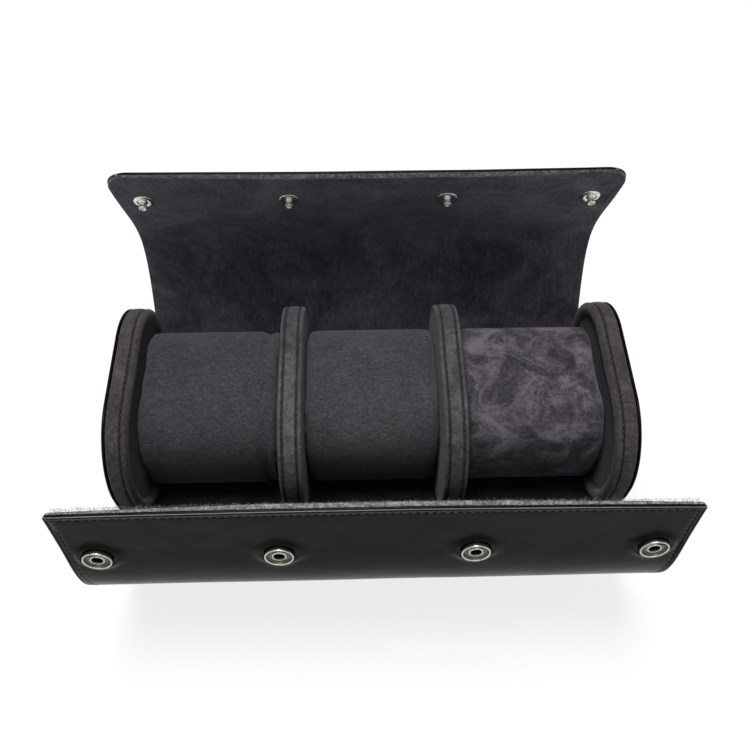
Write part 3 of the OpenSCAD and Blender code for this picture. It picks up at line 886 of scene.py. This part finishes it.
# ----------------------------------------
# Dividers. A stiff plate with thin foam on both faces, covered with suede.
# The band round its edge is sewn twice, which leaves a roll on either side
# of a flat middle.
# ----------------------------------------
divider_x = 41 * MM
divider_face = 5.5 * MM
seam_u = 3.5
divider_suede = suede("divider_suede", False,
                      ((0.030, 0.027, 0.030), (0.060, 0.055, 0.059), (0.122, 0.114, 0.119)),
                      (0.7, 0.7, 0.7), 34, 0.9,
                      shaded_seam_x=(divider_x + seam_u * MM, divider_x - seam_u * MM))
half_profile = [(-5.0, 4.4), (-5.6, 3.0), (-5.85, 1.6), (-5.55, 0.5), (-4.9, 0.0), (-4.2, 0.05),
                (-3.8, 0.5), (-seam_u, 1.05), (-3.2, 0.5), (-2.6, 0.0), (-1.4, -0.2)]
divider_profile = half_profile + [(0, -0.25)] + [(-u, inset) for u, inset in reversed(half_profile)]
divider_profile = [(u * MM, inset * MM) for u, inset in divider_profile] + [(0.0, 5.2 * MM)]


def divider_crown(dist, y, z):
    return -0.45 * MM * (1 - np.exp(-dist / (6 * MM))) + 0.06 * MM * waves(y, z, 0.015, 7.0)


for side, flip in (("left", -1), ("right", 1)):
    band = sweep_oval([(u + divider_x, inset) for u, inset in divider_profile], flip)
    for u in (-seam_u, seam_u):
        sew(band, oval_row(divider_x + u * MM, 0.6 * MM, flip), 1)
    band = piece(f"{side}_divider_band_suede", band, divider_suede, shaded_thread)
    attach(band, "case")
    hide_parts(f"{side}_divider_band")
    for face_name, way in (("inner", 1), ("outer", -1)):
        x_face = divider_x - way * divider_face
        pad = oval_pad(0, 2.5 * MM, 2.4 * MM, inner_rings, divider_crown)
        for vert in pad.verts:
            vert.co.x = flip * (x_face + way * vert.co.x)
        # The divider's faces are painted shade: a darker copy of the suede.
        pad = piece(f"{side}_divider_{face_name}_face", faces_out(pad), shaded_suede)
        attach(pad, "case")
        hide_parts(f"{side}_divider_faces", f"{side}_divider_core")

# ----------------------------------------
# Pillows. A block of foam with a suede cover pulled round it, so that the
# round back is tight, the ends swell and the edges between them stay soft.
# Each lifts out of its bay.
# ----------------------------------------
pillow_tones = ((0.021, 0.019, 0.024), (0.045, 0.041, 0.047), (0.095, 0.088, 0.098))
worn_tones = ((0.023, 0.020, 0.026), (0.054, 0.049, 0.057), (0.122, 0.112, 0.126))
pillow_suede = {
    "left": suede("left_pillow_suede", False, pillow_tones, (0.5, 1.0, 1.0), 26, 0.4, -0.03, 800),
    "middle": suede("middle_pillow_suede", False, pillow_tones, (0.65, 1.0, 1.0), 22, 0.45, 0.03, 760),
    "right": suede("right_pillow_suede", False, worn_tones, (0.8, 1.0, 1.0), 56, 2.1, 0.05),
}
pillow_voxel = 2.8 * MM
pillow_swell = 1.0 * MM
pillow_start = 1.0 * MM
pillow_fill = {"left": (3.3, 2.4), "middle": (1.3, 1.3), "right": (2.4, 3.3)}
pillow_edge = 2.2 * MM
pillow_r = 27 * MM
dent_in = 4.6 * MM
dent_depth = 2.3 * MM


def simulated(made, frames=20, pressure=4.0):
    """Blows the cover up a little against its cloth, then keeps the shape."""
    scene = bpy.context.scene
    rest = points_of(made.data.vertices)
    cloth = made.modifiers.new("cloth", "CLOTH")
    cloth.settings.effector_weights.gravity = 0
    cloth.settings.use_pressure = True
    cloth.settings.uniform_pressure_force = pressure
    cloth.settings.quality = 5
    cloth.point_cache.frame_start = 1
    cloth.point_cache.frame_end = frames
    for number in range(1, frames + 1):
        scene.frame_set(number)
    shaped = made.evaluated_get(bpy.context.evaluated_depsgraph_get())
    moved = points_of(shaped.data.vertices)
    made.modifiers.remove(cloth)
    scene.frame_set(1)
    shift = moved - rest
    far = np.linalg.norm(shift, axis=1, keepdims=True)
    kept = rest + shift * np.minimum(1, pillow_swell / np.maximum(far, 1e-9))
    move_to(made.data.vertices, kept)
    made.data.update()


def pillow_mesh(name, low, high):
    """The foam block's form: a rounded section along the case, with softened ends."""
    side = name.split("_")[0]
    fill = pillow_fill[side]
    middle = (low + high) / 2 + Vector(((fill[1] - fill[0]) / 2, -0.8, 0.2)) * MM
    half = (high - low) / 2 - Vector((1, 1, 1)) * pillow_start
    half.x += (fill[0] + fill[1]) / 2 * MM
    half.y += 1.2 * MM
    half.z += 0.6 * MM
    r = pillow_r - pillow_start
    bm = bmesh.new()
    outline = corner_loop(half.y, -half.z, half.z, r, r, 0, turns=12)
    face = bm.faces.new([bm.verts.new((-half.x, a, b)) for a, b in outline])
    body = bmesh.ops.extrude_face_region(bm, geom=[face])
    bmesh.ops.translate(bm, verts=verts_in(body), vec=(2 * half.x, 0, 0))
    faces_out(bm)
    rims = [e for e in bm.edges if abs(e.verts[0].co.x - e.verts[1].co.x) < 1e-9]
    bmesh.ops.bevel(bm, geom=rims, offset=pillow_edge, segments=5, profile=0.5, affect="EDGES",
                    material=-1)
    bmesh.ops.translate(bm, verts=bm.verts[:], vec=middle)
    made = piece(name, bm, pillow_suede[side])
    remesh = made.modifiers.new("remesh", "REMESH")
    remesh.mode = "VOXEL"
    remesh.voxel_size = pillow_voxel
    soften = made.modifiers.new("smooth", "SMOOTH")
    soften.iterations = 1
    graph = bpy.context.evaluated_depsgraph_get()
    mesh = bpy.data.meshes.new_from_object(made.evaluated_get(graph))
    made.modifiers.clear()
    made.data = mesh
    return made


for side in ("left", "middle", "right"):
    low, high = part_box(f"{side}_pillow_cover")
    made = pillow_mesh(f"{side}_pillow", Vector(low), Vector(high))
    simulated(made)
    if side == "left":
        co = points_of(made.data.vertices)
        line = high[0] - dent_in + 1.2 * MM * waves(co[:, 1], co[:, 2], 0.02, 11.0)
        sunk = dent_depth * ridge(co[:, 0], line, 2.0 * MM)
        inward = (np.array(low) + high)[1:] / 2 - co[:, 1:]
        co[:, 1:] += inward / np.linalg.norm(inward, axis=1, keepdims=True) * sunk[:, None]
        move_to(made.data.vertices, co)
    for polygon in made.data.polygons:
        polygon.use_smooth = True
    finer = made.modifiers.new("finer", "SUBSURF")
    finer.levels = 1
    finer.render_levels = 1
    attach(made, f"{side}_pillow")
    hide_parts(f"{side}_pillow_cover", f"{side}_pillow_foam")


# ----------------------------------------
# Sockets. Brass pressings with a nickel plate that has dulled with use, each
# clinched through the front flap by an eyelet, with a steel spring inside.
# ----------------------------------------
def nickel(name, tone, gloss):
    material, tree, shader = new_material(name)
    age = noise_of(tree, surface_points(tree, False), 900, 5, 0.7)
    colour = ramp(tree, age, [(0.3, tuple(c * 0.45 for c in tone)), (0.5, tuple(c * 0.85 for c in tone)),
                              (0.75, tone)])
    dull = ramp(tree, age, [(0.3, gloss + 0.2), (0.7, gloss)])
    normal = bumped(tree, age, 0.15, 0.0001)
    dress(tree, shader, {"Base Color": colour, "Roughness": dull, "Normal": normal}, Metallic=1.0)
    return material


bright_nickel = nickel("bright_nickel", (0.82, 0.80, 0.76), 0.2)
aged_nickel = nickel("aged_nickel", (0.62, 0.60, 0.54), 0.24)
# Nearly black nickel for the sockets' hollows: painted shade, partly real tarnish.
dark_nickel = nickel("dark_nickel", (0.13, 0.125, 0.10), 0.42)
spring_steel = nickel("spring_steel", (0.30, 0.29, 0.27), 0.3)
# (radius, height) in mm: the post's bore and lip, the dish, and the rolled rim
socket_profile = [
    (2.35, 0.15), (2.35, 1.85), (2.45, 2.08), (2.7, 2.18), (3.0, 2.12), (3.2, 1.9), (3.35, 1.55),
    (3.6, 1.42), (4.9, 1.42), (5.15, 1.6), (5.3, 2.05), (5.4, 2.45), (5.6, 2.7), (5.85, 2.78),
    (6.08, 2.68), (6.2, 2.42), (6.18, 2.0), (6.05, 1.3), (5.9, 0.6), (5.75, 0.25), (5.4, 0.12)]
socket_top = 2.78 * MM
slot_angles = ((202, 256), (284, 338))
slot_depth = 0.9 * MM


def spun(profile, turns):
    """A pressing, spun upright from its profile, which is closed unless it starts on the axis."""
    bm = bmesh.new()
    ring = [bm.verts.new((r * MM, 0, h * MM)) for r, h in profile]
    line = [bm.edges.new(pair) for pair in zip(ring, ring[1:])]
    if profile[0][0] > 0:
        line.append(bm.edges.new((ring[-1], ring[0])))
    bmesh.ops.spin(bm, geom=ring + line, cent=(0, 0, 0), axis=(0, 0, 1), angle=2 * math.pi,
                   steps=turns, use_merge=True)
    bmesh.ops.remove_doubles(bm, verts=bm.verts[:], dist=1e-6)
    return smooth(bm)


def in_row(name, one, seat_at, out, *materials):
    """Makes one piece of four copies, each at its place with its axis along the way out."""
    mesh = as_mesh(name, one)
    along_x = Vector((-1, 0, 0))
    turned = Matrix((along_x, out.cross(along_x), out)).transposed().to_4x4()
    row = bmesh.new()
    for x in snap_x:
        start = len(row.verts)
        row.from_mesh(mesh)
        row.verts.ensure_lookup_table()
        bmesh.ops.transform(row, verts=row.verts[start:],
                            matrix=Matrix.Translation((x, *seat_at[1:])) @ turned)
    bpy.data.meshes.remove(mesh)
    return piece(name, faces_out(row), *materials)


def socket_form():
    """One socket, with two kidney slots in its dish, below the middle."""
    bm = faces_out(spun(socket_profile, 64))
    slots = []
    for face in bm.faces:
        mid = face.calc_center_median()
        r = math.hypot(mid.x, mid.y) / MM
        angle = math.degrees(math.atan2(mid.y, mid.x)) % 360
        # Faces off the rim's top and the post's lip take the dark nickel: painted shade on the wall under
        # the rim, in the dish, the bore and the slots, partly real tarnish.
        rim_or_lip = r > 5.35 and mid.z > 2.1 * MM or 2.4 < r < 3.25 and mid.z > 1.6 * MM
        face.material_index = 0 if rim_or_lip else 1
        in_dish = 3.6 < r < 4.9 and face.normal.z > 0.9
        if in_dish and any(lo < angle < hi for lo, hi in slot_angles):
            slots.append(face)
    bmesh.ops.inset_region(bm, faces=slots, thickness=0.12 * MM, depth=0, use_even_offset=True)
    sunk = bmesh.ops.extrude_face_region(bm, geom=slots)
    bmesh.ops.delete(bm, geom=slots, context="FACES_ONLY")
    bmesh.ops.translate(bm, verts=verts_in(sunk), vec=(0, 0, -slot_depth))
    for face in [g for g in sunk["geom"] if isinstance(g, bmesh.types.BMFace)]:
        face.material_index = 1
    return bm


def outward_at(s):
    return np.array([0, *on_curve(s, section_s, outward)])


normal = outward_at(socket_s)
seat_at = on_wrap([(0, socket_s, 0)])[0]
node_points = points_of(frame["nodes"]["snap_sockets"].data.vertices)
seat_at += normal * (((node_points - seat_at) @ normal).max() - socket_top)
sockets = in_row("sockets", socket_form(), seat_at, Vector(normal), aged_nickel, dark_nickel)
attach(sockets, "front_flap_5")
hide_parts("snap_sockets")

# ----------------------------------------
# Studs. Nickel-plated brass posts with a low domed flange, on the lining of
# the back flap. Each is riveted to a cap on the flap's outer face.
# ----------------------------------------
# (radius, height) in mm: the shank, the flange, and the post with its hollow
stud_profile = [
    (0, -0.7), (5.1, -0.7), (5.1, -0.12), (4.95, 0.1), (4.6, 0.32), (4.1, 0.5), (3.5, 0.58), (3.0, 0.5),
    (2.5, 0.3), (1.75, 0.5), (1.6, 0.85), (1.6, 1.6), (1.75, 2.1), (2.1, 2.75), (2.1, 3.85),
    (1.98, 4.1), (1.75, 4.2), (1.1, 4.2), (1.0, 4.05), (1.0, 1.0), (0, 1.0)]
stud_top = 4.2 * MM
node_points = points_of(frame["nodes"]["snap_studs"].data.vertices)
reach = node_points @ -outward_at(stud_s)
tips = node_points[reach > reach.max() - 0.05 * MM]
shanks = node_points[reach < reach.min() + 0.05 * MM]
tip, shank = (np.array([0, *(points.max(0) + points.min(0))[1:] / 2]) for points in (tips, shanks))
axis = Vector(tip - shank).normalized()
studs = in_row("studs", spun(stud_profile, 48), Vector(tip) - axis * stud_top, axis, bright_nickel)
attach(studs, "back_flap_4")
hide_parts("snap_studs")
for node, material in (
    ("socket_eyelets", aged_nickel), ("snap_springs", spring_steel), ("stud_caps", bright_nickel),
):
    for each in frame["nodes"][node].material_slots:
        each.material = material

# ----------------------------------------
# Table, light and surroundings. A white table under a wide soft light from
# above and behind, a dimmer one in front, and a white surround that is
# darker overhead, as a studio's ceiling is.
# ----------------------------------------
def seen_ray(tree):
    """1 where the surround is seen, itself or in a gloss, and 0 for the light that it throws."""
    path = tree.nodes.new("ShaderNodeLightPath")
    seen = math_of(tree, "MAXIMUM", path.outputs["Is Camera Ray"], path.outputs["Is Glossy Ray"])
    return math_of(tree, "MAXIMUM", seen, path.outputs["Is Transmission Ray"])


bm = bmesh.new()
bmesh.ops.create_grid(bm, x_segments=1, y_segments=1, size=6)
table_white, tree, shader = new_material("table_white")
speck = ramp(tree, noise_of(tree, surface_points(tree, False), 6, 2), [(0.3, 0.955), (0.7, 0.975)])
dress(tree, shader, {"Base Color": speck}, Roughness=0.9, Specular_IOR_Level=0.1)
paper = add_node(tree, "ShaderNodeEmission", Color=(1, 1, 1, 1), Strength=1.0)
paper_share = 0.78
share = math_of(tree, "MULTIPLY", seen_ray(tree), paper_share)
output = [n for n in tree.nodes if n.type == "OUTPUT_MATERIAL"][0]
lifted = add_node(tree, "ShaderNodeMixShader",
                  {0: share, 1: shader.outputs["BSDF"], 2: paper.outputs["Emission"]})
tree.links.new(lifted.outputs["Shader"], output.inputs["Surface"])
table = piece("table", bm, table_white)

world = bpy.data.worlds.new("surround")
bpy.context.scene.world = world
world.use_nodes = True
tree = world.node_tree
tree.nodes.clear()
soft = add_node(tree, "ShaderNodeBackground", Color=(1, 1, 1, 1), Strength=0.25)
sky = tree.nodes.new("ShaderNodeTexCoord")
height = add_node(tree, "ShaderNodeSeparateXYZ", {"Vector": sky.outputs["Generated"]})
ceiling = ramp(tree, height.outputs["Z"], [(0.25, 1.0), (0.6, 0.6)])
white = add_node(tree, "ShaderNodeBackground", {"Color": ceiling}, Strength=1.0)
mix = add_node(tree, "ShaderNodeMixShader",
               {0: seen_ray(tree), 1: soft.outputs["Background"], 2: white.outputs["Background"]})
output = tree.nodes.new("ShaderNodeOutputWorld")
tree.links.new(mix.outputs["Shader"], output.inputs["Surface"])


def soft_light(name, place, size, power):
    data = bpy.data.lights.new(name, "AREA")
    data.shape = "RECTANGLE"
    data.size, data.size_y = size
    data.energy = power
    lamp = bpy.data.objects.new(name, data)
    lamp.location = place
    lamp.rotation_euler = (Vector((0, 0, 0.05)) - Vector(place)).to_track_quat("-Z", "Y").to_euler()
    bpy.context.scene.collection.objects.link(lamp)


soft_light("overhead", (-0.12, 0.12, 1.55), (0.75, 0.55), 23)
soft_light("front", (0.2, -0.9, 1.2), (0.7, 0.5), 3)

bpy.context.scene.view_settings.view_transform = "Standard"
